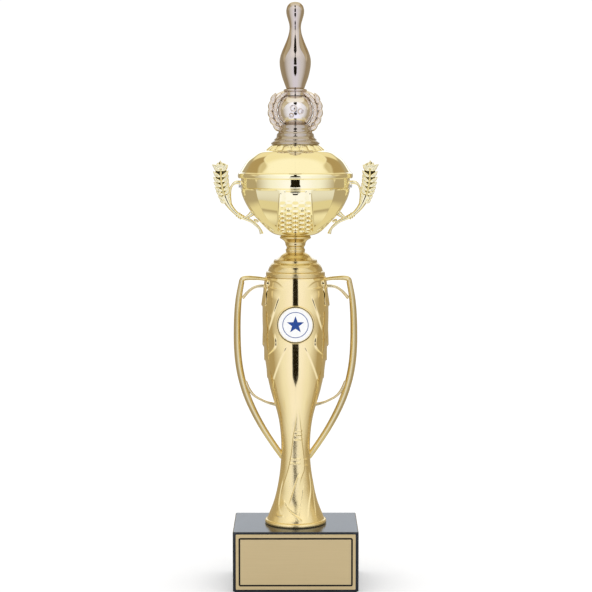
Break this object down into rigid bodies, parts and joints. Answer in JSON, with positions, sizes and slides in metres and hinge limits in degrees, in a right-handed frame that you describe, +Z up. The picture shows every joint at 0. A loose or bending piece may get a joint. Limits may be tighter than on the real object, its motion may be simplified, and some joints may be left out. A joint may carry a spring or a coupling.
{
  "type": "cup trophy",
  "caption": "Tall cup trophy: polished stone base with blank plate, waisted gold column with strap handles, lidded cup, bowling ball and pin figure on top.",
  "frame": {"origin": "middle of the underside of the base, where it stands on the table", "axes": "+Z up along the tie rod, +X to the viewer's right seen from the front, front with the plate and disc towards -Y"},
  "size_m": [0.1258, 0.0856, 0.4356],
  "materials": {
    "black_marble": "polished",
    "black_felt": "matte",
    "satin_brass_plate": "satin",
    "foam_tape": "matte",
    "gold_metallised": "polished",
    "pale_gold_metallised": "polished",
    "champagne_metallised": "polished",
    "white_printed_disc": "gloss",
    "zinc_plated_steel": "satin"
  },
  "bodies": {
    "trophy": {"felt_pad": "black_felt", "marble_base": "black_marble", "nameplate": "satin_brass_plate", "nameplate_tape": "foam_tape", "tie_rod": "zinc_plated_steel", "base_washer": "zinc_plated_steel", "base_nut": "zinc_plated_steel", "bowl_washer": "zinc_plated_steel", "bowl_nut": "zinc_plated_steel", "handle_screws": "zinc_plated_steel", "column_foot": "gold_metallised", "column_front": "gold_metallised", "column_rear": "gold_metallised", "column_handle_left": "gold_metallised", "column_handle_right": "gold_metallised", "shoulder_cap": "gold_metallised", "cup_stem": "gold_metallised", "medallion_bezel": "gold_metallised", "medallion_disc": "white_printed_disc", "bowl": "pale_gold_metallised", "cup_handle_left": "pale_gold_metallised", "cup_handle_right": "pale_gold_metallised"},
    "lid": {"lid": "pale_gold_metallised", "lid_washer": "zinc_plated_steel", "lid_nut": "zinc_plated_steel", "figure_rod": "zinc_plated_steel", "riser_pedestal": "champagne_metallised", "bowling_ball": "champagne_metallised", "wreath_left": "champagne_metallised", "wreath_right": "champagne_metallised", "pin_seat": "champagne_metallised", "bowling_pin": "champagne_metallised"}
  },
  "joints": [
    {"name": "lid_lift", "type": "slide", "parent": "trophy", "child": "lid", "axis": [0, 0, 1], "range_m": [0, 0.08]}
  ]
}
